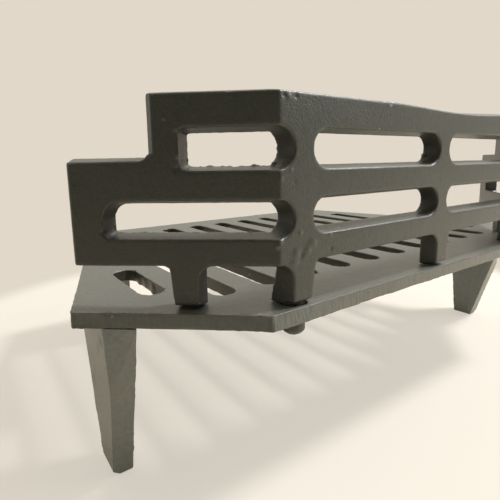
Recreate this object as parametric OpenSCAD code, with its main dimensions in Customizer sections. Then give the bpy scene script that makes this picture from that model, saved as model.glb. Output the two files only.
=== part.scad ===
// Cast-iron log grate: a six-sided slotted bed on four blade legs, and a
// loose front guard that stands on the bed and drops two pegs through it.
// Millimetres. +Z is up, -Y is the front, +X is to the right seen from the
// front. The origin is at the middle of the footprint, on the floor.

/* [Bed] */
// Width of the bed's front edge
front_w = 284; // [240:1:320]
// Width of the bed at its widest, where the canted edges end
waist_w = 432; // [400:1:480]
// How far behind the front edge the bed is widest
waist_back = 62.5; // [50:0.5:80]
// Width of the bed's back edge
back_w = 300; // [260:1:340]
// Depth of the bed from front to back
bed_d = 288; // [250:1:340]
// Thickness of the bed plate
bed_t = 8; // [6:0.5:12]

/* [Slots] */
// Width of each ash slot
slot_w = 14; // [8:0.5:16]
// Distance between the middles of neighbouring slots
slot_pitch = 31.2; // [26:0.2:40]
// How many slots lie on each side of the middle
slots_each_side = 6; // [4:1:6]
// Iron left in front of the slots
slot_front_rim = 39; // [30:1:50]
// Iron left behind the slots
slot_back_rim = 26; // [18:1:40]
// Iron left beside the back end of an outer slot
slot_side_rim = 19.5; // [12:0.5:26]

/* [Legs] */
// Height of the legs below the bed plate
leg_h = 93; // [60:1:120]
// Thickness of a leg where it leaves the plate
leg_root_t = 13.5; // [11:0.5:18]
// Thickness of a leg at the floor
leg_tip_t = 11.3; // [7:0.1:13]
// How far a leg's inner face leans inwards on its way to the floor
leg_inner_lean = 1.6; // [0:0.1:3]
// Size of the chamfer on the outer edge of a leg's tip
leg_tip_chamfer = 3.6; // [0.5:0.1:5]
// Front-to-back width of a leg where it leaves the plate
leg_root_w = 55; // [40:1:70]
// Front-to-back width of a leg at the floor
leg_tip_w = 18; // [14:1:30]
// How far a leg's outer edge slopes inwards on its way to the floor
leg_rake = 27; // [0:1:35]
// Distance from the bed's widest point in to a front leg's outer face
front_leg_inset = 11.5; // [8:0.5:20]
// Distance from the bed's back corner in to a back leg's outer face
back_leg_inset = 6; // [2:0.5:16]

/* [Guard] */
// Thickness of the guard
guard_t = 11; // [8:0.5:14]
// Height of the guard's front face above the bed
guard_h = 100.5; // [94:0.5:120]
// Height of the stepped-down wing end above the bed
step_h = 70.8; // [68:0.1:74]
// How far each edge of the guard leans out from its front face to its back face
draft = 2.2; // [0.5:0.1:2.5]
// Distance from the bed's front edge back to the guard's face
guard_setback = 2; // [1:0.5:5]
// Distance from the bed's canted edge in to the wing's face
wing_setback = 5.7; // [3:0.1:8]
// Length of a wing's face, from the corner to its end
wing_len = 99.3; // [94:0.1:110]
// Length of the wing's tall part, from the corner to the step
wing_tall_len = 59.8; // [56:0.1:66]
// Radius in the step's inner corner
step_fillet = 6; // [2:0.5:9]

/* [Windows] */
// Height of the lower rail's underside above the bed
rail_z = 21.7; // [16:0.1:24]
// Height of the lower windows' sill above the bed
low_sill = 34.3; // [32:0.1:36]
// Height of the lower windows' head above the bed
low_head = 52.6; // [51:0.1:57]
// Height of the upper windows' sill above the bed
high_sill = 66; // [64:0.1:68]
// Height of the upper windows' head above the bed
high_head = 85.5; // [82.5:0.1:89]
// Width of the post in the middle of the front panel
centre_post_w = 10.6; // [8:0.2:20]
// Width of the post beside each corner, on the front panel
corner_post_w = 12; // [8:0.1:18]
// How far the wing's windows run round the corner on to the front panel
window_wrap = 9.2; // [6:0.1:10]
// Iron between the upper wing window and the step
high_end_post = 13.8; // [8:0.1:18]
// Iron between the lower wing window and the wing's end
low_end_post = 15.8; // [10:0.1:20]
// Radius in the tight corners of the wing's windows
tight_corner = 3.2; // [3.2:0.1:4.5]

/* [Feet] */
// Width of a foot at the bed
foot_w = 12; // [8:0.5:14]
// Gap below the front of a foot
foot_lift = 2.4; // [0.5:0.1:4]
// Depth of the flat at the back of a foot, which rests on the bed
foot_flat = 4; // [2:0.5:7]
// Radius where a foot's upright side flares into the lower rail
foot_fillet = 8; // [2:0.5:9]
// Radius where a foot's sloping side flares into the lower rail
slope_fillet = 3; // [1:0.5:8]
// How far a foot's sloping side runs outwards on its way up to the rail
foot_slope = 2; // [0:0.1:5]
// The same for a corner foot, which is stouter
corner_foot_slope = 3.2; // [0:0.1:5]
// How far the centre foot stands to the right of the guard's middle
centre_foot_off = 3; // [0:0.5:10]
// Distance from the guard's corner to the middle of its corner foot
corner_foot_in = 14.5; // [13:0.5:20]
// How far a corner foot spreads behind the guard at the bed
corner_foot_spread = 4; // [3:0.5:8]
// Distance from the guard's corner to the middle of its wing foot
wing_foot_out = 44.6; // [36:0.1:52]
// Diameter of the locating pegs
peg_d = 12; // [8:0.5:13]
// Length of peg that shows below the bed plate
peg_show = 9.5; // [2:0.5:12]
// Radius of the dome that a peg ends in
peg_dome = 7.5; // [7:0.5:20]
// Room round a peg in its hole, on the radius
peg_room = 0.7; // [0.3:0.1:1.2]
// Distance from the guard's face back to the middle of a peg
peg_back = 7.5; // [7:0.1:8.5]

/* [Hidden] */
$fn = 64;

BED_COLOR = "#7B776C";
LEG_COLOR = "#706D62";
PANEL_COLOR = "#5F5D53";
WING_COLOR = "#3A3931";
FOOT_COLOR = "#4B4941";
OVER = 1; // how far a cutter runs past the faces that it cuts

// Levels
bed_z = leg_h + bed_t;
front_y = -bed_d / 2;
waist_y = front_y + waist_back;
back_y = bed_d / 2;

// The canted edges, and the wings that stand along them
cant_run = (waist_w - front_w) / 2;
cant = atan2(waist_back, cant_run);
mitre = tan(cant / 2);
guard_y = front_y + guard_setback;
corner_x = front_w / 2 - (wing_setback - guard_setback * cos(cant)) / sin(cant);

// Windows
rows = [[low_sill, low_head], [high_sill, high_head]];
row_mid = (low_sill + low_head) / 2;
wrap_x = corner_x - window_wrap;
WINDOW_RUN = 24; // how far a window's cutter runs on past the mitre

// Pegs
peg_x = corner_x - corner_foot_in;
peg_y = guard_y + peg_back;

// How far the edges have leant at a depth behind the guard's face
function lean(depth) = draft * depth / guard_t;

// Where the front or canted edge of the bed lies at a distance from the middle
function edge_y(x) = front_y + max(0, (x - front_w / 2) * waist_back / cant_run);

// Where the bed's side edge lies that far from the middle
function side_y(x) = waist_y + (waist_w / 2 - x) * (bed_d - waist_back) / ((waist_w - back_w) / 2);

// ---------------------------------------------------------------- helpers

// An outline drawn as distance back and height, run along X from x0 to x1
module run_x(x0, x1) {
    translate([x0, 0, 0])
        rotate([90, 0, 90])
            linear_extrude(x1 - x0)
                children();
}

// An outline drawn as distance along and height, run back from y0 to y1
module run_y(y0, y1) {
    translate([0, y1, 0])
        rotate([90, 0, 0])
            linear_extrude(y1 - y0)
                children();
}

// An outline drawn in plan, run up from z0 to z1
module run_z(z0, z1) {
    translate([0, 0, z0])
        linear_extrude(z1 - z0)
            children();
}

// A stretch of the guard: x0 to x1 and z0 to z1 on its face, with each edge
// leaning out by its own amount on the way to the back face
module guard_block(x0, x1, z0, z1, x0_lean, x1_lean, z0_lean, z1_lean) {
    reach = draft + guard_t;
    intersection() {
        run_z(z0 - reach, z1 + reach)
            polygon([[x0, 0], [x1, 0], [x1 + x1_lean, guard_t], [x0 - x0_lean, guard_t]]);
        run_x(x0 - reach, x1 + reach)
            polygon([[0, z0], [0, z1], [guard_t, z1 + z1_lean], [guard_t, z0 - z0_lean]]);
    }
}

// The hollow of a window with corner radius r on the guard's face, which
// narrows to the back by the draft
module window_hollow(x0, x1, z0, z1, r) {
    near = -OVER;
    far = guard_t + OVER;
    a = lean(near);
    b = lean(far);
    square_sided = z1 - z0 > 2 * r + 0.01;
    corner_zs = square_sided ? [z0 + r, z1 - r] : [(z0 + z1) / 2];
    run_x(x0 + r, x1 - r)
        polygon([[near, z0 + a], [near, z1 - a], [far, z1 - b], [far, z0 + b]]);
    if (square_sided)
        run_z(z0 + r, z1 - r)
            polygon([[x0 + a, near], [x1 - a, near], [x1 - b, far], [x0 + b, far]]);
    for (x = [x0 + r, x1 - r])
        for (z = corner_zs)
            translate([x, near, z])
                rotate([-90, 0, 0])
                    cylinder(h = far - near, r1 = r - a, r2 = r - b);
}

// A concave fillet of radius r in the corner at [0, 0], opening to +x and +z,
// as deep as the guard
module gusset(r) {
    run_y(0, guard_t)
        difference() {
            translate([-OVER, -OVER])
                square(r + OVER);
            translate([r, r])
                circle(r);
        }
}

// The concave fillet of radius r between a foot's +x side, which slopes out by
// slope on its way up, and the lower rail's underside
module foot_flare(slope, r) {
    tilt = atan2(slope, rail_z);
    top_x = foot_w / 2 + slope;
    middle = [top_x - r * tan(tilt) + r / cos(tilt), rail_z - r];
    tangent = middle - r * [cos(tilt), -sin(tilt)];
    run_y(0, guard_t)
        difference() {
            polygon([
                [top_x - slope - OVER, rail_z], [middle[0], rail_z], middle,
                tangent, [top_x - slope - OVER, tangent[1]]
            ]);
            translate(middle)
                circle(r);
        }
}

// A foot below the lower rail, centred on x = 0, whose back spreads by spread
// at the bed. Its -x side is upright and leans out on its way back, and its +x
// side slopes out by slope on its way up.
module guard_foot(spread, slope) {
    side = foot_w / 2;
    deep = guard_t + spread;
    reach = foot_w + foot_fillet + slope_fillet + slope;
    intersection() {
        run_x(-reach, reach)
            polygon([
                [0, foot_lift], [0, rail_z], [guard_t, rail_z - draft],
                [deep, 0], [guard_t - foot_flat, 0]
            ]);
        union() {
            intersection() {
                run_z(-OVER, rail_z + OVER)
                    polygon([
                        [-side, 0], [side + slope + OVER, 0],
                        [side + slope + OVER, deep], [-side - lean(deep), deep]
                    ]);
                run_y(-OVER, deep + OVER)
                    polygon([
                        [-reach, 0], [side, 0], [side + slope, rail_z], [-reach, rail_z]
                    ]);
            }
            foot_flare(slope, slope_fillet);
            mirror([1, 0, 0])
                foot_flare(0, foot_fillet);
        }
    }
}

// Moves a shape drawn against the guard's face to the front panel's place
module on_front() {
    translate([0, guard_y, bed_z])
        children();
}

// Moves a shape drawn along the right wing's face, from its corner, there
module on_wing() {
    translate([corner_x, guard_y, bed_z])
        rotate([0, 0, cant])
            children();
}

// Keeps the right-hand shape, or mirrors it to the left
module on_side(side) {
    mirror([side == "left" ? 1 : 0, 0, 0])
        children();
}

// -------------------------------------------------------------------- bed

// The bed's outline, seen from above
module bed_outline() {
    polygon([
        [-front_w / 2, front_y], [front_w / 2, front_y],
        [waist_w / 2, waist_y], [back_w / 2, back_y],
        [-back_w / 2, back_y], [-waist_w / 2, waist_y]
    ]);
}

// One ash slot at a distance from the middle, as long as its rims leave room
module slot_hollow(x) {
    r = slot_w / 2;
    y0 = edge_y(x) + slot_front_rim;
    y1 = min(back_y - slot_back_rim, side_y(x + r + slot_side_rim));
    if (y1 - y0 > 2 * slot_w) {
        translate([x - r, y0 + r, leg_h - OVER])
            cube([slot_w, y1 - y0 - slot_w, bed_t + 2 * OVER]);
        for (y = [y0 + r, y1 - r])
            translate([x, y, leg_h - OVER])
                cylinder(h = bed_t + 2 * OVER, r = r);
    }
}

module bed_plate() {
    color(BED_COLOR)
        difference() {
            run_z(leg_h, bed_z)
                bed_outline();
            for (side = ["left", "right"])
                on_side(side) {
                    for (i = [1:slots_each_side])
                        slot_hollow((i - 0.5) * slot_pitch);
                    translate([peg_x, peg_y, leg_h - OVER])
                        cylinder(h = bed_t + 2 * OVER, d = peg_d + 2 * peg_room);
                }
        }
}

// A tapered blade, its inner face at x = 0 and its raked edge at y = 0 where
// it leaves the plate, with a chamfer on its tip's outer edge
module leg_blade() {
    tip_x = leg_tip_t - leg_inner_lean;
    chamfer_x = tip_x + (leg_root_t - tip_x) * leg_tip_chamfer / leg_h;
    intersection() {
        run_y(-OVER, leg_root_w + leg_rake + leg_tip_w)
            polygon([
                [0, leg_h], [leg_root_t, leg_h], [chamfer_x, leg_tip_chamfer],
                [tip_x - leg_tip_chamfer, 0], [-leg_inner_lean, 0]
            ]);
        run_x(-leg_root_t, 2 * leg_root_t)
            polygon([
                [0, leg_h], [leg_root_w, leg_h],
                [leg_rake + leg_tip_w, 0], [leg_rake, 0]
            ]);
    }
}

// A front leg stands flush with the canted edge
module front_leg(side) {
    x = waist_w / 2 - front_leg_inset - leg_root_t;
    color(LEG_COLOR)
        on_side(side)
            intersection() {
                translate([x, edge_y(x), 0])
                    leg_blade();
                run_z(-OVER, bed_z)
                    bed_outline();
            }
}

// A back leg stands flush with the back edge
module back_leg(side) {
    x = back_w / 2 - back_leg_inset - leg_root_t;
    color(LEG_COLOR)
        on_side(side)
            translate([x, back_y, 0])
                mirror([0, 1, 0])
                    leg_blade();
}

// ------------------------------------------------------------------ guard

module front_panel() {
    toe = -guard_t * mitre;
    color(PANEL_COLOR)
        on_front()
            difference() {
                guard_block(-corner_x, corner_x, rail_z, guard_h, toe, toe, draft, draft);
                for (side = ["left", "right"])
                    on_side(side)
                        for (row = rows) {
                            r = (row[1] - row[0]) / 2;
                            window_hollow(centre_post_w / 2, wrap_x - corner_post_w, row[0], row[1], r);
                            window_hollow(wrap_x, corner_x + WINDOW_RUN, row[0], row[1], r);
                        }
            }
}

module wing(side) {
    toe = -guard_t * mitre;
    high_end = wing_tall_len - high_end_post;
    low_end = wing_len - low_end_post;
    low_r = (low_head - low_sill) / 2;
    color(WING_COLOR)
        on_side(side)
            on_wing()
                difference() {
                    union() {
                        guard_block(0, wing_tall_len, rail_z, guard_h, toe, draft, draft, draft);
                        guard_block(0, wing_len, rail_z, step_h, toe, draft, draft, draft);
                        translate([wing_tall_len, 0, step_h])
                            gusset(step_fillet);
                    }
                    window_hollow(-WINDOW_RUN, high_end, high_sill, high_head, tight_corner);
                    window_hollow(-WINDOW_RUN, low_end, low_sill, low_head, low_r);
                    window_hollow(-WINDOW_RUN, low_end, low_sill, row_mid + tight_corner, tight_corner);
                }
}

module centre_foot() {
    color(FOOT_COLOR)
        on_front()
            translate([centre_foot_off, 0, 0])
                guard_foot(0, foot_slope);
}

// The peg below a right-hand corner foot, which ends in a dome
module peg() {
    tip_z = leg_h - peg_show;
    peg_len = bed_z + rail_z / 2 - tip_z;
    translate([peg_x, peg_y, tip_z])
        intersection() {
            cylinder(h = peg_len, d = peg_d);
            union() {
                translate([0, 0, peg_dome])
                    sphere(peg_dome);
                translate([0, 0, peg_dome])
                    cylinder(h = peg_len, r = peg_dome);
            }
        }
}

module corner_foot(side) {
    color(FOOT_COLOR)
        on_side(side) {
            on_front()
                translate([peg_x, 0, 0])
                    mirror([1, 0, 0])
                        guard_foot(corner_foot_spread, corner_foot_slope);
            peg();
        }
}

module wing_foot(side) {
    color(FOOT_COLOR)
        on_side(side)
            on_wing()
                translate([wing_foot_out, 0, 0])
                    guard_foot(0, foot_slope);
}

bed_plate();
front_leg("left");  // front_left_leg
front_leg("right");  // front_right_leg
back_leg("left");  // back_left_leg
back_leg("right");  // back_right_leg
front_panel();
wing("left");  // left_wing
wing("right");  // right_wing
centre_foot();
corner_foot("left");  // left_corner_foot
corner_foot("right");  // right_corner_foot
wing_foot("left");  // left_wing_foot
wing_foot("right");  // right_wing_foot
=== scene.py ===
"""A cast-iron log grate: two sand castings in black stove paint, on a pale studio floor."""
import math
from typing import NamedTuple

import bmesh
import bpy
from bpy.props import FloatProperty, FloatVectorProperty, IntProperty, PointerProperty
from mathutils import Matrix, Vector, noise
from mathutils.bvhtree import BVHTree
from mathutils.kdtree import KDTree


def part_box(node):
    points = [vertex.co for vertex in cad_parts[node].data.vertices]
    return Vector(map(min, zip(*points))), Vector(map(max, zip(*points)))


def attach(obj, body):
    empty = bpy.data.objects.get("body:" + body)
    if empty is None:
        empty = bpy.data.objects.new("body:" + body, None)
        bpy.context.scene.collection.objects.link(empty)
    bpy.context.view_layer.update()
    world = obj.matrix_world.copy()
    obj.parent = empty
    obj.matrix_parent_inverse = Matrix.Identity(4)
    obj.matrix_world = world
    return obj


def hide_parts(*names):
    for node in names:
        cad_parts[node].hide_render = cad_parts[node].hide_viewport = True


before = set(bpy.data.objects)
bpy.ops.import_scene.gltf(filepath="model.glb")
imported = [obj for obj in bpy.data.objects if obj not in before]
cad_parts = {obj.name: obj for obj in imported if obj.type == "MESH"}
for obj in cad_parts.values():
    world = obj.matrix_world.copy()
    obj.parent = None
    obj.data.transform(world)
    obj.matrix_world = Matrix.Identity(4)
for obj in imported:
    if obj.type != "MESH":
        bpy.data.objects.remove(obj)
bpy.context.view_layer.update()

bl_info = {
    "name": "Log Grate",
    "version": (1, 0, 0),
    "blender": (4, 5, 0),
    "location": "View3D > Sidebar > Log Grate",
    "description": "Casts, paints and lights a log grate with a lift-off guard",
    "category": "Object",
}

MM = 0.001
TINY = 0.001 * MM

# Places taken from the CAD parts
PANEL_LOW, PANEL_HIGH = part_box("front_panel")
BED_LOW, BED_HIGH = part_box("bed_plate")
CORNER_X = PANEL_HIGH.x
GUARD_Y = PANEL_LOW.y
GUARD_T = PANEL_HIGH.y - PANEL_LOW.y
RAIL_Z = PANEL_LOW.z
BED_Z = BED_HIGH.z
UNDERSIDE_Z = BED_LOW.z

# A wing runs back 62.5 mm for every 74 mm that it runs sideways
CANT = math.atan2(62.5, 74)
MITRE = math.tan(CANT / 2)

# How far round the guard's face its ends and the ends of its tall part lie from the middle
WING_RUN = CORNER_X + 99.3 * MM
TALL_RUN = CORNER_X + 59.8 * MM

# Heights above the bed between which the low and the high windows lie, a little beyond their rims
LOW_WINDOWS = 31 * MM, 56 * MM
HIGH_WINDOWS = 63 * MM, 89 * MM

# How far round the face the rims of the outermost low and high windows reach
LOW_REACH = 222 * MM
HIGH_REACH = 184 * MM

# Above the first height only the wings' tall parts stand, and above the second the fillet has run out
ABOVE_STEP = 72 * MM
ABOVE_FILLET = 74 * MM

# How far in from its end a wing is eased again
END_BAND = 4 * MM

# Sizes of the unevenness that sand leaves: the hollows of the rammer, lumps, grains and torn arrises
RAMMED, LUMPY, GRAINY, TORN = 22 * MM, 7 * MM, 2.8 * MM, 1.7 * MM

# The flash is a thin fin at the backs of the windows. It is lower on the panel, and on the windows' heads.
FLASH_BAND = 1.4 * MM
LOW_FLASH = 0.3

# Flash grows only where at least this share of the skin's normal points into the window
LEAST_LEAN = 0.3

# A lump under this radius, in millimetres, is painted pale: a painted glint where the lump catches the light
SMALL_LUMP = 2.3

# How much the sides of the plate were ground, against 1 for its front edge
SIDES_GROUND = 0.4

# A point is on an arris if its normal is further than this cosine from that of every face round it
SMOOTH = 0.99

LEG_NODES = ("front_left_leg", "front_right_leg", "back_left_leg", "back_right_leg")
GUARD_NODES = (
    "front_panel", "left_wing", "right_wing", "centre_foot", "left_corner_foot",
    "right_corner_foot", "left_wing_foot", "right_wing_foot",
)


class Mark(NamedTuple):
    """A lump, or with a height below nothing a dent, that the mould left, in millimetres."""

    place: tuple
    radius: float
    height: float


# On the guard a place is the distance round its face from the middle, to the right
# if over 0, then the height above the bed, and then the depth behind the face.
GUARD_MARKS = (
    # The ragged top arris
    Mark((-24, 99, 0), 1.4, 0.4),
    Mark((-57, 100, 0), 1.8, -0.7),
    Mark((-70, 100, 3), 2.5, -0.6),
    Mark((4, 100, 2), 2.0, -0.9),
    Mark((-126, 98.5, 0), 1.7, -0.5),
    Mark((-130, 98, 0), 1.6, 0.5),
    Mark((-133, 98.5, 0), 1.7, -0.5),
    Mark((-158, 100.5, 2), 2.5, -0.4),
    # The left corner, where the mould crumbled
    Mark((-135, 33.4, 0), 1.6, 0.6),
    Mark((-133.4, 35.4, 0), 1.4, 0.6),
    Mark((-136.6, 31, 0), 1.5, 0.6),
    Mark((-129.2, 38, 0), 1.4, 0.5),
    Mark((-123, 36.2, 0), 1.5, 0.6),
    Mark((-125.5, 27, 0), 3.0, 0.5),
    Mark((-122.3, 25.2, 0), 2.2, -0.5),
    Mark((-118.4, 27.3, 0), 3.0, 0.6),
    Mark((-115, 30, 0), 4.0, 0.5),
    Mark((-126.7, 22.7, 0), 3.5, 0.4),
    Mark((-134.6, 62.1, 0), 1.4, 0.5),
    Mark((-128.7, 66, 0), 1.2, 0.4),
    Mark((-126.8, 60.4, 0), 1.2, -0.4),
    Mark((-102.3, 32.7, 0), 1.2, 0.4),
    Mark((-102.1, 25.7, 0), 1.6, -0.6),
    Mark((-112.2, 16, 0), 1.9, -0.9),
    # Flash at the backs of the windows
    Mark((-8.4, 72.2, 10), 2.2, 1.0),
    Mark((-128.2, 75.8, 10), 1.8, 0.9),
    Mark((-132.1, 68.7, 9), 2.2, 1.0),
    Mark((-147.8, 68, 10.5), 2.2, 1.0),
    Mark((-156.8, 68, 10.5), 2.0, -0.9),
    Mark((-168.7, 68, 10.5), 2.2, 0.7),
    Mark((-215, 41, 9.5), 2.6, -1.3),
    Mark((-214.5, 37.6, 9.5), 2.2, 1.2),
    # The left wing's windows, rough in their left ends
    Mark((-182.2, 84.6, 0.5), 1.4, 0.4),
    Mark((-182, 72.5, 0.5), 1.5, 0.5),
    Mark((-182.4, 67.2, 1), 2.6, -0.8),
    Mark((-219.5, 37.7, 1), 2.2, -0.8),
    Mark((-215.6, 35.4, 1), 2.2, -0.7),
    Mark((-187.1, 89.2, 0), 1.2, 0.4),
)

# The guard's top edge dips near the middle, where the sand had slumped
TOP_DIP = Mark((20, 100, 0), 75, -2.1)

# On the bed a place is x, y and z.
BED_MARKS = (
    # The left front leg: a gouge and a sink below its root, flash on its outer edge
    Mark((-203.6, -86, 84), 4.5, -1.2),
    Mark((-203.2, -80, 78), 4.0, -0.8),
    Mark((-196, -99, 82), 9.0, -0.4),
    Mark((-203, -58, 52), 3.0, 0.8),
    # The lumpy wall of the left outer slot, and a knob in its back end
    Mark((-173, -22, 98), 5.0, 1.5),
    Mark((-164.6, -33, 96), 5.0, 1.2),
    Mark((-164.6, -44, 97), 4.5, 0.8),
    Mark((-164.6, -57, 95), 5.5, 1.1),
    # Nicks in the left canted arris
    Mark((-202.7, -93.2, 101), 2.4, -0.6),
    Mark((-152, -136, 101), 3.0, -0.5),
    Mark((-146, -140, 101), 2.5, 0.3),
)

# The foot of the plate's front edge swells near the left corner
PLATE_SWELL = Mark((-130, -144, 93), 55, 1.8)


def linear(hex_code):
    """The linear colour, with an alpha of 1, of an sRGB hex code such as #7B776C."""
    values = [int(hex_code[i:i + 2], 16) / 255 for i in (1, 3, 5)]
    return [v / 12.92 if v <= 0.04045 else ((v + 0.055) / 1.055) ** 2.4 for v in values] + [1.0]


# ---------------------------------------------------------------- settings


class CastingSettings(bpy.types.PropertyGroup):
    """How the two castings came out of the sand."""

    plate_arris: FloatProperty(
        name="Plate arris", description="Radius of the arris round the top of the bed plate",
        default=1.2 * MM, min=0.3 * MM, max=3 * MM, unit="LENGTH")
    under_arris: FloatProperty(
        name="Under arris", description="Radius of the arris round the bottom of the bed plate",
        default=0.8 * MM, min=0.3 * MM, max=3 * MM, unit="LENGTH")
    slot_arris: FloatProperty(
        name="Slot arris", description="Radius of the arrises of the slots",
        default=0.9 * MM, min=0.3 * MM, max=3 * MM, unit="LENGTH")
    leg_arris: FloatProperty(
        name="Leg arris", description="Radius of the legs' arrises",
        default=0.8 * MM, min=0.3 * MM, max=3 * MM, unit="LENGTH")
    bed_grid: FloatProperty(
        name="Bed grid", description="Distance between the points of the bed's skin",
        default=2 * MM, min=1 * MM, max=6 * MM, unit="LENGTH")
    guard_grid: FloatProperty(
        name="Guard grid", description="Distance between the points of the guard's skin",
        default=0.8 * MM, min=0.6 * MM, max=2 * MM, unit="LENGTH")
    guard_easing: IntProperty(
        name="Guard easing", description="Passes that round the guard's arrises", default=2, min=0, max=30)
    end_easing: IntProperty(
        name="End easing", description="Further passes at the ends of the wings", default=4, min=0, max=30)
    tall_chamfer: FloatProperty(
        name="Tall chamfer", description="Size of the chamfer on the ends of the wings' tall parts",
        default=2.2 * MM, min=0, max=4 * MM, unit="LENGTH")
    low_chamfer: FloatProperty(
        name="Low chamfer", description="Size of the chamfer on the ends of the wings' low parts",
        default=1.0 * MM, min=0, max=4 * MM, unit="LENGTH")
    bed_sand: FloatProperty(
        name="Bed sand", description="Height of the unevenness that the sand leaves on the bed",
        default=0.2 * MM, min=0, max=1 * MM, unit="LENGTH")
    guard_sand: FloatProperty(
        name="Guard sand", description="Height of the unevenness that the sand leaves on the guard",
        default=0.12 * MM, min=0, max=1 * MM, unit="LENGTH")
    flash: FloatProperty(
        name="Flash", description="How far the ragged flash at the back of a wing reaches into its windows",
        default=0.6 * MM, min=0, max=3 * MM, unit="LENGTH")


class PaintSettings(bpy.types.PropertyGroup):
    """The stove paint on the castings."""

    guard_dark: FloatVectorProperty(
        name="Guard dark", description="Darker shade of the guard's paint",
        default=linear("#373A33"), size=4, min=0, max=1, subtype="COLOR")
    guard_pale: FloatVectorProperty(
        name="Guard pale", description="Paler shade of the guard's paint",
        default=linear("#40433B"), size=4, min=0, max=1, subtype="COLOR")
    bed_dark: FloatVectorProperty(
        name="Bed dark", description="Darker shade of the bed's paint",
        default=linear("#4B4E48"), size=4, min=0, max=1, subtype="COLOR")
    bed_pale: FloatVectorProperty(
        name="Bed pale", description="Paler shade of the bed's paint",
        default=linear("#5A5D57"), size=4, min=0, max=1, subtype="COLOR")
    # The legs' paint is paler than the plate's: painted light, standing in for the bright floor close round
    # them.
    leg_dark_floor_lit: FloatVectorProperty(
        name="Leg dark", description="Darker shade of the thin paint on the legs",
        default=linear("#757A76"), size=4, min=0, max=1, subtype="COLOR")
    leg_pale_floor_lit: FloatVectorProperty(
        name="Leg pale", description="Paler shade of the thin paint on the legs",
        default=linear("#898E8A"), size=4, min=0, max=1, subtype="COLOR")
    # Painted shade: this dark colour goes on the walls of the slots and the ends of the windows, where shade
    # falls.
    painted_recess_shade: FloatVectorProperty(
        name="Soot", description="Shade of the rough walls of the slots and windows",
        default=linear("#26261F"), size=4, min=0, max=1, subtype="COLOR")
    # This pale grey is the paint rubbed at the arrises and in the ground streaks, and the painted glints on
    # small lumps.
    wear_and_glint: FloatVectorProperty(
        name="Worn", description="Paint that handling has rubbed at the arrises",
        default=linear("#7D7D75"), size=4, min=0, max=1, subtype="COLOR")
    chip: FloatVectorProperty(
        name="Chip", description="Specks of pale dust and chipped paint",
        default=linear("#B5B1A5"), size=4, min=0, max=1, subtype="COLOR")
    guard_roughness: FloatProperty(
        name="Guard roughness", description="Roughness of the guard's paint", default=0.48, min=0, max=1)
    bed_roughness: FloatProperty(
        name="Bed roughness", description="Roughness of the bed's paint", default=0.42, min=0, max=1)
    guard_coat: FloatProperty(
        name="Guard coat", description="Weight of the gloss on the guard's paint", default=0.3, min=0, max=1)
    bed_coat: FloatProperty(
        name="Bed coat", description="Weight of the gloss on the bed's paint", default=0.12, min=0, max=1)


class StageSettings(bpy.types.PropertyGroup):
    """The floor, the light and the background."""

    floor: FloatVectorProperty(
        name="Floor", description="Colour of the floor, as it lights the grate",
        default=linear("#E4DCCC"), size=4, min=0, max=1, subtype="COLOR")
    shaded_floor: FloatVectorProperty(
        name="Shaded floor", description="Colour of the floor in the shade towards the front left",
        default=linear("#AAA498"), size=4, min=0, max=1, subtype="COLOR")
    seen_floor: FloatVectorProperty(
        name="Seen floor", description="Colour of the floor, as the camera sees it",
        default=linear("#DAD3C7"), size=4, min=0, max=1, subtype="COLOR")
    haze: FloatVectorProperty(
        name="Haze", description="Colour that lightens the shadows on the floor",
        default=linear("#FFFAEF"), size=4, min=0, max=1, subtype="COLOR")
    haziness: FloatProperty(
        name="Haziness", description="Share of the haze in what the camera sees of the floor",
        default=0.5, min=0, max=1)
    background: FloatVectorProperty(
        name="Background", description="Colour of the wall behind",
        default=linear("#E1D8C9"), size=4, min=0, max=1, subtype="COLOR")


# ---------------------------------------------------------------- places


def guard_point(run, rise, depth):
    """The point at a distance round the guard's face, a height above the bed and a depth behind the face."""
    beyond = abs(run) - CORNER_X
    if beyond <= 0:
        return Vector((run, GUARD_Y + depth, BED_Z + rise))
    x = CORNER_X + beyond * math.cos(CANT) - depth * math.sin(CANT)
    y = GUARD_Y + beyond * math.sin(CANT) + depth * math.cos(CANT)
    return Vector((math.copysign(x, run), y, BED_Z + rise))


def guard_place(point):
    """The distance round the guard's face, height above the bed and depth behind the face of a point."""
    x = abs(point.x) - CORNER_X
    y = point.y - GUARD_Y
    rise = point.z - BED_Z
    if x + MITRE * y <= 0:
        return point.x, rise, y
    run = CORNER_X + x * math.cos(CANT) + y * math.sin(CANT)
    return math.copysign(run, point.x), rise, y * math.cos(CANT) - x * math.sin(CANT)


# ---------------------------------------------------------------- patterns


def pattern_of(nodes):
    """The merged copies of some CAD nodes."""
    pattern = bmesh.new()
    for node in nodes:
        pattern.from_mesh(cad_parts[node].data)
    bmesh.ops.remove_doubles(pattern, verts=pattern.verts, dist=TINY)
    return pattern


def finished(pattern, kind, settings):
    """A bmesh of a pattern once a modifier has finished it."""
    mesh = bpy.data.meshes.new("pattern")
    pattern.to_mesh(mesh)
    pattern.free()
    mould = bpy.data.objects.new("mould", mesh)
    bpy.context.scene.collection.objects.link(mould)
    modifier = mould.modifiers.new("Finish", kind)
    for name, value in settings.items():
        setattr(modifier, name, value)
    depsgraph = bpy.context.evaluated_depsgraph_get()
    skin = bpy.data.meshes.new_from_object(mould.evaluated_get(depsgraph), depsgraph=depsgraph)
    casting = bmesh.new()
    casting.from_mesh(skin)
    bpy.data.objects.remove(mould)
    bpy.data.meshes.remove(mesh)
    bpy.data.meshes.remove(skin)
    return casting


def outline_of(pattern):
    """The upright faces of a pattern that nothing lies beyond."""
    points = [vert.co for vert in pattern.verts]

    def nothing_beyond(face):
        reach = face.normal.dot(face.verts[0].co)
        return abs(face.normal.z) < 0.1 and max(face.normal.dot(p) for p in points) - reach < 0.1 * MM

    return {face for face in pattern.faces if nothing_beyond(face)}


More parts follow.
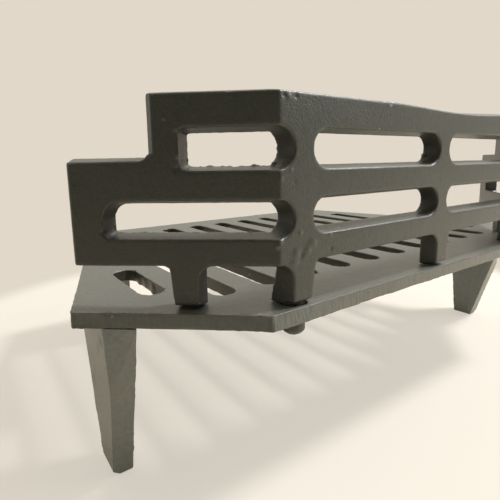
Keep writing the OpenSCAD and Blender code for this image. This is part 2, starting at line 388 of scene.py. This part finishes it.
def plate_radii(pattern, sizes):
    """The radius of each arris of the bed plate."""
    outline = outline_of(pattern)
    for edge in pattern.edges:
        levels = [vert.co.z for vert in edge.verts]
        if outline.isdisjoint(edge.link_faces):
            yield edge, sizes.slot_arris
        elif max(levels) < UNDERSIDE_Z + TINY:
            yield edge, sizes.under_arris
        else:
            yield edge, sizes.plate_arris


def leg_radii(pattern, sizes):
    """The radius of each arris of a leg. Its root is left sharp.

    A front leg turns from the plate's canted edge to its own front face by a crease that the sand softened.
    It has no arris, so that the two faces shade into each other.
    """
    for edge in pattern.edges:
        root = min(vert.co.z for vert in edge.verts) > UNDERSIDE_Z - TINY
        crease = all(face.normal.y < -0.7 for face in edge.link_faces)
        yield edge, 0.0 if root or crease else sizes.leg_arris


def rounded(node, radii, sizes):
    """A pattern of one CAD node with its arrises rounded, each by its own radius."""
    pattern = pattern_of([node])
    bmesh.ops.dissolve_limit(
        pattern, angle_limit=math.radians(1), use_dissolve_boundaries=False,
        verts=pattern.verts, edges=pattern.edges, delimit=set())
    pattern.normal_update()
    widest = max(sizes.plate_arris, sizes.under_arris, sizes.leg_arris)
    weight = pattern.edges.layers.float.new("bevel_weight_edge")
    for edge, radius in radii(pattern, sizes):
        if edge.calc_face_angle(0) > math.radians(30):
            edge[weight] = radius / widest
    return finished(pattern, "BEVEL", {
        "width": widest, "segments": 3, "limit_method": "WEIGHT", "use_clamp_overlap": False})


def is_root(face):
    """Whether a face is a leg's root, which the plate hides."""
    return face.normal.z > 0.99 and abs(face.verts[0].co.z - UNDERSIDE_Z) < TINY


def note_skin(casting, slotted):
    """Notes each point's normal, weighted by area so that flat faces stay flat, and which arrises are
    rubbed.

    On a slotted casting it notes too that the outline was ground, most of all in front, and where the walls
    of the slots take painted shade.
    """
    skin = casting.verts.layers.float_vector.new("skin")
    wear_and_glint = casting.verts.layers.float.new("wear_and_glint")
    ground = casting.verts.layers.float.new("ground")
    rough = casting.verts.layers.float.new("rough")
    casting.normal_update()
    outline = outline_of(casting)
    for vert in casting.verts:
        faces = [face for face in vert.link_faces if not is_root(face)]
        normal = sum((face.normal * face.calc_area() for face in faces), Vector()).normalized()
        vert[skin] = normal
        vert[wear_and_glint] = float(max(face.normal.dot(normal) for face in faces) < SMOOTH)
        if slotted:
            upright = 1 - abs(normal.z)
            # The walls of the slots take painted shade
            if outline.isdisjoint(faces):
                vert[rough] = upright
            else:
                vert[ground] = upright * (1.0 if normal.y < -0.9 else SIDES_GROUND)


def gridded(casting, spacing):
    """Cuts a casting's faces along an even grid, so that the sand has points to move."""
    points = [vert.co.copy() for vert in casting.verts]
    for axis in range(3):
        low = min(point[axis] for point in points)
        high = max(point[axis] for point in points)
        across = Vector((axis == 0, axis == 1, axis == 2))
        count = round((high - low) / spacing)
        for i in range(1, count):
            bmesh.ops.bisect_plane(
                casting, geom=casting.verts[:] + casting.edges[:] + casting.faces[:], dist=0.1 * TINY,
                plane_co=across * (low + (high - low) * i / count), plane_no=across)
    bmesh.ops.dissolve_degenerate(casting, edges=casting.edges, dist=TINY)


def fused(nodes, spacing):
    """A bmesh of one closed skin round some CAD nodes, drawn back on to their faces."""
    pattern = pattern_of(nodes)
    faces = BVHTree.FromBMesh(pattern)
    casting = finished(pattern, "REMESH", {
        "mode": "VOXEL", "voxel_size": spacing, "use_smooth_shade": True})
    for vert in casting.verts:
        place, _, _, distance = faces.find_nearest(vert.co)
        if distance < spacing / 2:
            vert.co = place
    return casting


# ---------------------------------------------------------------- casting


def at_wing_end(point):
    """Whether a point is at the end of a wing's lower or tall part."""
    run, rise, _ = guard_place(point)
    return abs(run) > WING_RUN - END_BAND or (abs(run) > TALL_RUN - END_BAND and rise > ABOVE_STEP)


def eased(casting, passes, end_passes, reach):
    """Rounds a casting's arrises, and notes from 0 to 1 how far each point was moved in."""
    before = [vert.co.copy() for vert in casting.verts]
    ends = [vert for vert in casting.verts if at_wing_end(vert.co)]
    for verts in [casting.verts] * passes + [ends] * end_passes:
        bmesh.ops.smooth_vert(
            casting, verts=verts, factor=0.5, use_axis_x=True, use_axis_y=True, use_axis_z=True)
    casting.normal_update()
    wear_and_glint = casting.verts.layers.float.new("wear_and_glint")
    for vert, start in zip(casting.verts, before):
        vert[wear_and_glint] = min(1, max(0, (start - vert.co).dot(vert.normal) / reach))


def sanded(casting, height, seat_z, sink):
    """Makes a casting's skin uneven and its arrises ragged, and sinks it by a share of the height.

    It stays as it is at the height where it rests on something.
    """
    wear_and_glint = casting.verts.layers.float["wear_and_glint"]
    for vert in casting.verts:
        broad = noise.noise(vert.co / RAMMED)
        middle = noise.noise(vert.co / LUMPY + Vector((11, 3, 7)))
        fine = noise.noise(vert.co / GRAINY + Vector((5, 17, 2)))
        uneven = (broad + 0.6 * middle + 0.35 * fine) / 1.95
        ragged = 4 * min(vert[wear_and_glint], 0.33) * noise.noise(vert.co / TORN)
        rest = min(1, abs(vert.co.z - seat_z) / (2 * MM))
        vert.co += vert.normal * height * (uneven * (1 + 3 * vert[wear_and_glint]) + ragged - sink) * rest


def marked(casting, marks, place):
    """Presses lumps and dents into a casting, and paints glints on small lumps. place turns a mark's place
    into a point.
    """
    tree = KDTree(len(casting.verts))
    for index, vert in enumerate(casting.verts):
        tree.insert(vert.co, index)
    tree.balance()
    casting.verts.ensure_lookup_table()
    wear_and_glint = casting.verts.layers.float["wear_and_glint"]
    for mark in marks:
        centre = place(*(value * MM for value in mark.place))
        radius = mark.radius * MM
        for _, index, distance in tree.find_range(centre, radius):
            vert = casting.verts[index]
            fade = (1 - (distance / radius) ** 2) ** 2
            vert.co += vert.normal * mark.height * MM * fade
            # Small lumps take a painted glint: pale paint where they catch the light
            if mark.height > 0 and mark.radius < SMALL_LUMP:
                vert[wear_and_glint] = max(vert[wear_and_glint], fade)


def chamfered(casting, end, from_rise, size):
    """Takes the front arris off the ends of the wings, where they end at a run, above a height."""
    for vert in casting.verts:
        run, rise, depth = guard_place(vert.co)
        out = abs(run) - (end - size)
        if rise > from_rise and depth < out < 2 * size:
            moved = (out - depth) / 2
            vert.co = guard_point(math.copysign(abs(run) - moved, run), rise, depth + moved)


def dipped(casting, dip):
    """Lowers the guard's top edge by a dip."""
    for vert in casting.verts:
        run, rise, _ = guard_place(vert.co)
        near = max(0, 1 - ((run / MM - dip.place[0]) / dip.radius) ** 2) ** 2
        high = max(0, min(1, (rise / MM - dip.place[1]) / 10 + 1))
        vert.co.z += dip.height * MM * near * high


def swollen(casting, swell):
    """Swells the foot of the plate's front edge, which leans out there."""
    for vert in casting.verts:
        low = max(0, min(1, (BED_Z - vert.co.z) / (BED_Z - UNDERSIDE_Z)))
        near = max(0, 1 - ((vert.co.x / MM - swell.place[0]) / swell.radius) ** 2) ** 2
        front = max(0, 1 - (vert.co.y / MM - swell.place[1]) / 6)
        vert.co.y -= swell.height * MM * low * near * front


def backwards(run, rise, depth):
    """The direction away from the guard's face at a place."""
    return (guard_point(run, rise, depth + MM) - guard_point(run, rise, depth)).normalized()


def in_window(run, rise):
    """Whether a place on the guard is in the reach of a window's rim."""
    low = LOW_WINDOWS[0] < rise < LOW_WINDOWS[1] and abs(run) < LOW_REACH
    high = HIGH_WINDOWS[0] < rise < HIGH_WINDOWS[1] and abs(run) < HIGH_REACH
    return low or high


def flashed(casting, reach):
    """Raises ragged flash round the back of the guard's windows, most of it on the wings' sills."""
    for vert in casting.verts:
        run, rise, depth = guard_place(vert.co)
        if depth < GUARD_T - FLASH_BAND or not in_window(run, rise):
            continue
        back = backwards(run, rise, depth)
        inward = vert.normal - back * vert.normal.dot(back)
        if inward.length < LEAST_LEAN:
            continue
        share = 1 if abs(run) > CORNER_X else LOW_FLASH
        if inward.z < -0.2:
            share *= LOW_FLASH
        ragged = noise.noise(vert.co / (2.4 * MM)) + 0.6 * noise.noise(vert.co / (1.1 * MM))
        vert.co += inward.normalized() * reach * share * max(0, ragged)


def sawn(casting, point, normal):
    """Saws a casting through along a plane, and closes both sides of the cut."""
    geometry = casting.verts[:] + casting.edges[:] + casting.faces[:]
    cut = bmesh.ops.bisect_plane(casting, geom=geometry, dist=TINY, plane_co=point, plane_no=normal)
    kerf = [e for e in cut["geom_cut"] if isinstance(e, bmesh.types.BMEdge)]
    bmesh.ops.split_edges(casting, edges=kerf)
    rims = [e for e in casting.edges if e.is_boundary]
    for face in bmesh.ops.holes_fill(casting, edges=rims, sides=0)["faces"]:
        face.smooth = False


def islands(casting):
    """The faces of each separate shell of a casting, always in the same order."""
    seen = set()
    for first in casting.faces:
        if first in seen:
            continue
        seen.add(first)
        shell = [first]
        for face in shell:
            for edge in face.edges:
                for other in edge.link_faces:
                    if other not in seen:
                        seen.add(other)
                        shell.append(other)
        yield shell


def nearest_node(shell, nodes):
    """The CAD node whose box has its middle nearest to a shell's."""
    points = [vert.co for face in shell for vert in face.verts]
    low = Vector(min(p[i] for p in points) for i in range(3))
    high = Vector(max(p[i] for p in points) for i in range(3))
    middle = (low + high) / 2

    def away(node):
        node_low, node_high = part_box(node)
        return (middle - (node_low + node_high) / 2).length

    return min(nodes, key=away)


def parted(casting, nodes):
    """Each shell of a sawn casting as a bmesh of its own, with the CAD node at its place."""
    casting.faces.index_update()
    for shell in islands(casting):
        kept = {face.index for face in shell}
        piece = casting.copy()
        piece.faces.ensure_lookup_table()
        gone = [face for face in piece.faces if face.index not in kept]
        bmesh.ops.delete(piece, geom=gone, context="FACES")
        yield nearest_node(shell, nodes), piece


def made_of(casting, node, body, paint):
    """Makes the object of a casting, which stands for a CAD node."""
    mesh = bpy.data.meshes.new(node + "_iron")
    casting.to_mesh(mesh)
    casting.free()
    shade_as_cast(mesh)
    mesh.materials.append(paint)
    made = bpy.data.objects.new(node + "_iron", mesh)
    bpy.context.scene.collection.objects.link(made)
    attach(made, body)
    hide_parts(node)


def shade_as_cast(mesh):
    """Shades a piece with the noted normals of its skin, and saw cuts flat."""
    skin = mesh.attributes["skin"].data
    normals = []
    for face in mesh.polygons:
        for corner in face.loop_indices:
            if face.use_smooth:
                normals.append(skin[mesh.loops[corner].vertex_index].vector.normalized())
            else:
                normals.append(face.normal)
    mesh.normals_split_custom_set(normals)
    mesh.attributes.remove(mesh.attributes["skin"])


# ---------------------------------------------------------------- paint


def add(tree, kind, settings=(), **links):
    """Adds a node with its settings and links.

    A link's name is a socket's, with _ for a space, or i and its number.
    """
    node = tree.nodes.new(kind)
    for name, value in dict(settings).items():
        if name in node.bl_rna.properties:
            setattr(node, name, value)
        else:
            node.inputs[name].default_value = value
    for name, source in links.items():
        target = int(name[1:]) if name[1:].isdigit() else name.replace("_", " ")
        tree.links.new(source, node.inputs[target])
    return node


def stove_paint(name, dark, pale, roughness, coat_weight, paint):
    """Satin black stove paint over sand-cast iron.

    The paint is a thin brushed coat that levels out the sand's grain to a soft orange peel, so the
    iron looks dark and even face on, and silvery where it is seen at a grazing angle.
    """
    material = bpy.data.materials.new(name)
    material.use_nodes = True
    tree = material.node_tree
    tree.nodes.clear()
    where = add(tree, "ShaderNodeTexCoord").outputs["Object"]

    # Clouds of thicker and thinner paint, a few brush widths across
    clouds = add(tree, "ShaderNodeTexNoise", {"Scale": 1 / (45 * MM), "Detail": 4.0}, Vector=where)
    # A mottle at the size of the sand's grains
    mottle = add(tree, "ShaderNodeTexNoise", {"Scale": 1 / (2.2 * MM), "Detail": 3.0}, Vector=where)
    both = add(
        tree, "ShaderNodeMix", {"data_type": "FLOAT", "Factor": 0.5}, A=clouds.outputs["Fac"],
        B=mottle.outputs["Fac"])
    thin = add(tree, "ShaderNodeMapRange", {"From Min": 0.38, "From Max": 0.64}, Value=both.outputs[0])
    coat = add(tree, "ShaderNodeMix", {"data_type": "RGBA"}, i0=thin.outputs["Result"])
    coat.inputs[6].default_value = dark
    coat.inputs[7].default_value = pale

    # Painted shade on the walls of the slots and the ends of the windows, where shade falls
    rough = add(tree, "ShaderNodeAttribute", {"attribute_name": "rough"})
    shaded_recesses = add(tree, "ShaderNodeMix", {"data_type": "RGBA"}, i0=rough.outputs["Fac"], i6=coat.outputs[2])
    shaded_recesses.inputs[7].default_value = paint.painted_recess_shade

    # Upright scratches where the plate's outline was ground, which show paler
    ground = add(tree, "ShaderNodeAttribute", {"attribute_name": "ground"})
    upright = add(tree, "ShaderNodeMapping", {"Scale": (1, 1, 0.12)}, Vector=where)
    scratches = add(
        tree, "ShaderNodeTexNoise", {"Scale": 1 / (1.6 * MM), "Detail": 3.0}, Vector=upright.outputs[0])
    streaks = add(
        tree, "ShaderNodeMath", {"operation": "MULTIPLY"}, i0=ground.outputs["Fac"],
        i1=scratches.outputs["Fac"])
    streaked = add(
        tree, "ShaderNodeMix", {"data_type": "RGBA"}, i0=streaks.outputs[0], i6=shaded_recesses.outputs[2])
    streaked.inputs[7].default_value = paint.wear_and_glint

    # Arrises rubbed to a paler grey, and painted glints on the small lumps
    wear_and_glint = add(tree, "ShaderNodeAttribute", {"attribute_name": "wear_and_glint"})
    patches = add(tree, "ShaderNodeTexNoise", {"Scale": 1 / (6 * MM), "Detail": 3.0}, Vector=where)
    rubbed = add(
        tree, "ShaderNodeMath", {"operation": "MULTIPLY"}, i0=wear_and_glint.outputs["Fac"], i1=patches.outputs["Fac"])
    arris = add(tree, "ShaderNodeMix", {"data_type": "RGBA"}, i0=rubbed.outputs[0], i6=streaked.outputs[2])
    arris.inputs[7].default_value = paint.wear_and_glint

    # Specks of dust and chipped paint, 0.7 mm across and a finger's breadth apart
    cells = add(tree, "ShaderNodeTexVoronoi", {"Scale": 1 / (9 * MM)}, Vector=where)
    near = add(
        tree, "ShaderNodeMath", {"operation": "LESS_THAN"}, i0=cells.outputs["Distance"])
    near.inputs[1].default_value = 0.04
    chosen = add(
        tree, "ShaderNodeSeparateColor", {}, Color=cells.outputs["Color"])
    rare = add(tree, "ShaderNodeMath", {"operation": "GREATER_THAN"}, i0=chosen.outputs[0])
    rare.inputs[1].default_value = 0.6
    speck = add(tree, "ShaderNodeMath", {"operation": "MULTIPLY"}, i0=near.outputs[0], i1=rare.outputs[0])
    colour = add(tree, "ShaderNodeMix", {"data_type": "RGBA"}, i0=speck.outputs[0], i6=arris.outputs[2])
    colour.inputs[7].default_value = paint.chip

    # The grain of the sand under the paint, and the orange peel of the paint
    peel = add(tree, "ShaderNodeTexNoise", {"Scale": 1 / (3 * MM), "Detail": 2.0}, Vector=where)
    grain = add(tree, "ShaderNodeTexNoise", {"Scale": 1 / (0.9 * MM), "Detail": 2.0}, Vector=where)
    peel_bump = add(
        tree, "ShaderNodeBump", {"Strength": 1.0, "Distance": 0.08 * MM}, Height=peel.outputs["Fac"])
    grain_bump = add(
        tree, "ShaderNodeBump", {"Strength": 1.0, "Distance": 0.17 * MM},
        Height=grain.outputs["Fac"], Normal=peel_bump.outputs["Normal"])

    scratch_bump = add(
        tree, "ShaderNodeBump", {"Distance": 0.2 * MM}, Strength=ground.outputs["Fac"],
        Height=scratches.outputs["Fac"], Normal=grain_bump.outputs["Normal"])

    # Satin, with duller patches
    sheen = add(
        tree, "ShaderNodeMapRange",
        {"To Min": roughness - 0.07, "To Max": roughness + 0.1}, Value=clouds.outputs["Fac"])
    shader = add(
        tree, "ShaderNodeBsdfPrincipled",
        {"IOR": 1.5, "Coat Weight": coat_weight, "Coat Roughness": 0.25}, Base_Color=colour.outputs[2],
        Roughness=sheen.outputs["Result"], Normal=scratch_bump.outputs["Normal"],
        Coat_Normal=scratch_bump.outputs["Normal"])
    add(tree, "ShaderNodeOutputMaterial", {}, Surface=shader.outputs["BSDF"])
    return material


# ---------------------------------------------------------------- stage


# The lamps: name, place, width and power in watts
LAMPS = (
    ("high", (1.2, -0.48, 1.75), 0.35, 46.0),
    ("soft", (1.5, -1.1, 1.2), 0.8, 12.0),
)


def hang_lamp(name, place, size, power):
    """Hangs a square lamp at a place, turned towards the grate."""
    light = bpy.data.lights.new(name, "AREA")
    light.size = size
    light.energy = power
    lamp = bpy.data.objects.new(name, light)
    bpy.context.scene.collection.objects.link(lamp)
    lamp.location = place
    lamp.rotation_euler = (Vector((0, 0, BED_Z)) - Vector(place)).to_track_quat("-Z", "Y").to_euler()


def lay_floor(stage):
    """Lays a wide, pale, matt floor that fades into the background a little way behind the grate.

    The camera sees light shadows on it, as on a bright day. All other rays meet a plain matt floor, which
    is shaded towards the front left.
    """
    material = bpy.data.materials.new("pale_floor")
    material.use_nodes = True
    tree = material.node_tree
    tree.nodes.clear()
    seen = add(tree, "ShaderNodeLightPath").outputs["Is Camera Ray"]
    place = add(tree, "ShaderNodeTexCoord").outputs["Object"]
    front_left = Vector((-0.86, -0.51, 0))
    ahead = add(tree, "ShaderNodeVectorMath", {"operation": "DOT_PRODUCT"}, i0=place)
    ahead.inputs[1].default_value = front_left
    shaded = add(
        tree, "ShaderNodeMapRange", {"From Min": 0.24, "From Max": 0.42, "interpolation_type": "SMOOTHSTEP"},
        Value=ahead.outputs["Value"])
    lit = add(tree, "ShaderNodeMix", {"data_type": "RGBA"}, i0=shaded.outputs["Result"])
    lit.inputs[6].default_value = stage.floor
    lit.inputs[7].default_value = stage.shaded_floor
    matt = add(tree, "ShaderNodeBsdfDiffuse", {}, Color=lit.outputs[2])
    dim = add(tree, "ShaderNodeBsdfDiffuse", {"Color": stage.seen_floor})
    haze = add(tree, "ShaderNodeEmission", {"Color": stage.haze})
    hazy = add(
        tree, "ShaderNodeMixShader", {"Fac": stage.haziness}, i1=dim.outputs["BSDF"],
        i2=haze.outputs["Emission"])
    plain = add(tree, "ShaderNodeEmission", {"Color": stage.background})
    away = add(tree, "ShaderNodeVectorMath", {"operation": "LENGTH"}, i0=place)
    fade = add(
        tree, "ShaderNodeMapRange", {"From Min": 0.36, "From Max": 0.42, "interpolation_type": "SMOOTHSTEP"},
        Value=away.outputs["Value"])
    view = add(
        tree, "ShaderNodeMixShader", {}, Fac=fade.outputs["Result"], i1=hazy.outputs["Shader"],
        i2=plain.outputs["Emission"])
    surface = add(
        tree, "ShaderNodeMixShader", {}, Fac=seen, i1=matt.outputs["BSDF"], i2=view.outputs["Shader"])
    add(tree, "ShaderNodeOutputMaterial", {}, Surface=surface.outputs["Shader"])
    shape = bmesh.new()
    bmesh.ops.create_circle(shape, cap_ends=True, segments=96, radius=4.0)
    mesh = bpy.data.meshes.new("floor")
    shape.to_mesh(mesh)
    shape.free()
    mesh.materials.append(material)
    floor = bpy.data.objects.new("floor", mesh)
    bpy.context.scene.collection.objects.link(floor)


def light_the_room(stage):
    """Lights a pale room that is dim in front and a little to the left. The camera sees it evenly pale."""
    world = bpy.data.worlds.new("room")
    world.use_nodes = True
    bpy.context.scene.world = world
    tree = world.node_tree
    tree.nodes.clear()
    direction = add(tree, "ShaderNodeTexCoord").outputs["Generated"]
    dim_side = Vector((-0.3, -0.95, 0.05)).normalized()
    towards = add(tree, "ShaderNodeVectorMath", {"operation": "DOT_PRODUCT"}, i0=direction)
    towards.inputs[1].default_value = dim_side
    bright = add(
        tree, "ShaderNodeMapRange",
        {"From Min": 0.0, "From Max": 0.65, "To Min": 1.2, "To Max": 0.13,
         "interpolation_type": "SMOOTHSTEP"},
        Value=towards.outputs["Value"])
    wall = add(tree, "ShaderNodeBackground", {"Color": stage.background}, Strength=bright.outputs["Result"])
    plain = add(tree, "ShaderNodeBackground", {"Color": stage.background, "Strength": 1.0})
    rays = add(tree, "ShaderNodeLightPath")
    room = add(
        tree, "ShaderNodeMixShader", {}, Fac=rays.outputs["Is Camera Ray"],
        i1=wall.outputs["Background"], i2=plain.outputs["Background"])
    add(tree, "ShaderNodeOutputWorld", {}, Surface=room.outputs["Shader"])


# ---------------------------------------------------------------- operators


class GRATE_OT_camera(bpy.types.Operator):
    """Sets up the camera in front of the grate's left corner, just above the bed"""

    bl_idname = "grate.camera"
    bl_label = "Camera"

    def execute(self, context):
        lens = bpy.data.cameras.new("camera")
        lens.lens = 29.0
        lens.sensor_width = 36.0
        lens.shift_x = -0.002
        lens.shift_y = -0.0444
        lens.clip_start = 0.01
        camera = bpy.data.objects.new("camera", lens)
        context.scene.collection.objects.link(camera)
        yaw = math.radians(54.69)
        down = math.radians(9.446)
        roll = -0.0163
        ahead = Vector((math.cos(yaw) * math.cos(down), math.sin(yaw) * math.cos(down), -math.sin(down)))
        right = Vector((math.sin(yaw), -math.cos(yaw), 0))
        up = right.cross(ahead)
        right, up = (
            right * math.cos(roll) + up * math.sin(roll),
            up * math.cos(roll) - right * math.sin(roll),
        )
        turn = Matrix((right, up, -ahead)).transposed().to_4x4()
        camera.matrix_world = Matrix.Translation((-0.25085, -0.28178, 0.17133)) @ turn
        context.scene.camera = camera
        return {"FINISHED"}


class GRATE_OT_cast_bed(bpy.types.Operator):
    """Casts the slotted bed plate and the four legs below it"""

    bl_idname = "grate.cast_bed"
    bl_label = "Cast the bed"

    def execute(self, context):
        sizes = context.scene.grate_casting
        paint = context.scene.grate_paint
        bed_paint = stove_paint(
            "bed_stove_paint", paint.bed_dark, paint.bed_pale, paint.bed_roughness, paint.bed_coat, paint)
        # The legs take a paler copy of the bed's paint, as painted light from the floor close round them.
        thin = stove_paint(
            "leg_paint_floor_lit", paint.leg_dark_floor_lit, paint.leg_pale_floor_lit, paint.bed_roughness, paint.bed_coat, paint)
        for node in ("bed_plate",) + LEG_NODES:
            casting = rounded(node, leg_radii if node in LEG_NODES else plate_radii, sizes)
            plate = node == "bed_plate"
            note_skin(casting, slotted=plate)
            gridded(casting, sizes.bed_grid)
            casting.normal_update()
            before = [vert.normal.copy() for vert in casting.verts]
            sanded(casting, sizes.bed_sand, seat_z=0, sink=float(plate))
            if plate:
                swollen(casting, PLATE_SWELL)
            marked(casting, BED_MARKS, place=lambda x, y, z: Vector((x, y, z)))
            casting.normal_update()
            skin = casting.verts.layers.float_vector["skin"]
            for vert, start in zip(casting.verts, before):
                vert[skin] = (vert[skin] + vert.normal - start).normalized()
            for face in casting.faces:
                face.smooth = True
            made_of(casting, node, "grate_bed", bed_paint if plate else thin)
        return {"FINISHED"}


class GRATE_OT_cast_guard(bpy.types.Operator):
    """Casts the guard with its wings, feet and pegs"""

    bl_idname = "grate.cast_guard"
    bl_label = "Cast the guard"

    def execute(self, context):
        sizes = context.scene.grate_casting
        paint = context.scene.grate_paint
        iron = stove_paint(
            "guard_stove_paint", paint.guard_dark, paint.guard_pale, paint.guard_roughness,
            paint.guard_coat, paint)
        casting = fused(GUARD_NODES, sizes.guard_grid)
        eased(casting, sizes.guard_easing, sizes.end_easing, reach=1.5 * MM)
        chamfered(casting, TALL_RUN, ABOVE_FILLET, sizes.tall_chamfer)
        chamfered(casting, WING_RUN, 0, sizes.low_chamfer)
        flashed(casting, sizes.flash)
        dipped(casting, TOP_DIP)
        casting.normal_update()
        sanded(casting, sizes.guard_sand, seat_z=BED_Z, sink=0)
        marked(casting, GUARD_MARKS, place=guard_point)
        casting.normal_update()
        skin = casting.verts.layers.float_vector.new("skin")
        # The ends of the windows take painted shade
        rough = casting.verts.layers.float.new("rough")
        for vert in casting.verts:
            vert[skin] = vert.normal
            run, rise, depth = guard_place(vert.co)
            if in_window(run, rise):
                along = backwards(run, rise, depth).cross(Vector((0, 0, 1)))
                vert[rough] = abs(vert.normal.dot(along))
        sawn(casting, Vector((0, 0, RAIL_Z - 1 * MM)), Vector((0, 0, 1)))
        for side in (-1, 1):
            sawn(casting, Vector((side * CORNER_X, GUARD_Y, 0)), Vector((side, MITRE, 0)).normalized())
        for node, piece in parted(casting, GUARD_NODES):
            made_of(piece, node, "guard", iron)
        casting.free()
        return {"FINISHED"}


class GRATE_OT_stage(bpy.types.Operator):
    """Lays the floor and sets the lights"""

    bl_idname = "grate.stage"
    bl_label = "Stage"

    def execute(self, context):
        stage = context.scene.grate_stage
        lay_floor(stage)
        light_the_room(stage)
        for name, place, size, power in LAMPS:
            hang_lamp(name, place, size, power)
        context.scene.view_settings.view_transform = "Standard"
        return {"FINISHED"}


class GRATE_PT_panel(bpy.types.Panel):
    """Lists the steps that make the grate"""

    bl_idname = "GRATE_PT_panel"
    bl_label = "Log Grate"
    bl_space_type = "VIEW_3D"
    bl_region_type = "UI"
    bl_category = "Log Grate"

    def draw(self, context):
        for operator in OPERATORS:
            self.layout.operator(operator.bl_idname)


OPERATORS = (GRATE_OT_camera, GRATE_OT_cast_bed, GRATE_OT_cast_guard, GRATE_OT_stage)
SETTINGS = {
    "grate_casting": CastingSettings,
    "grate_paint": PaintSettings,
    "grate_stage": StageSettings,
}


def register():
    """Registers the settings, the operators and the panel."""
    for name, settings in SETTINGS.items():
        bpy.utils.register_class(settings)
        setattr(bpy.types.Scene, name, PointerProperty(type=settings))
    for operator in OPERATORS:
        bpy.utils.register_class(operator)
    bpy.utils.register_class(GRATE_PT_panel)


def unregister():
    """Takes back what register did."""
    bpy.utils.unregister_class(GRATE_PT_panel)
    for operator in reversed(OPERATORS):
        bpy.utils.unregister_class(operator)
    for name, settings in SETTINGS.items():
        delattr(bpy.types.Scene, name)
        bpy.utils.unregister_class(settings)


def main():
    """Makes the whole scene."""
    register()
    bpy.ops.grate.camera()
    bpy.ops.grate.cast_bed()
    bpy.ops.grate.cast_guard()
    bpy.ops.grate.stage()


if __name__ == "__main__":
    main()
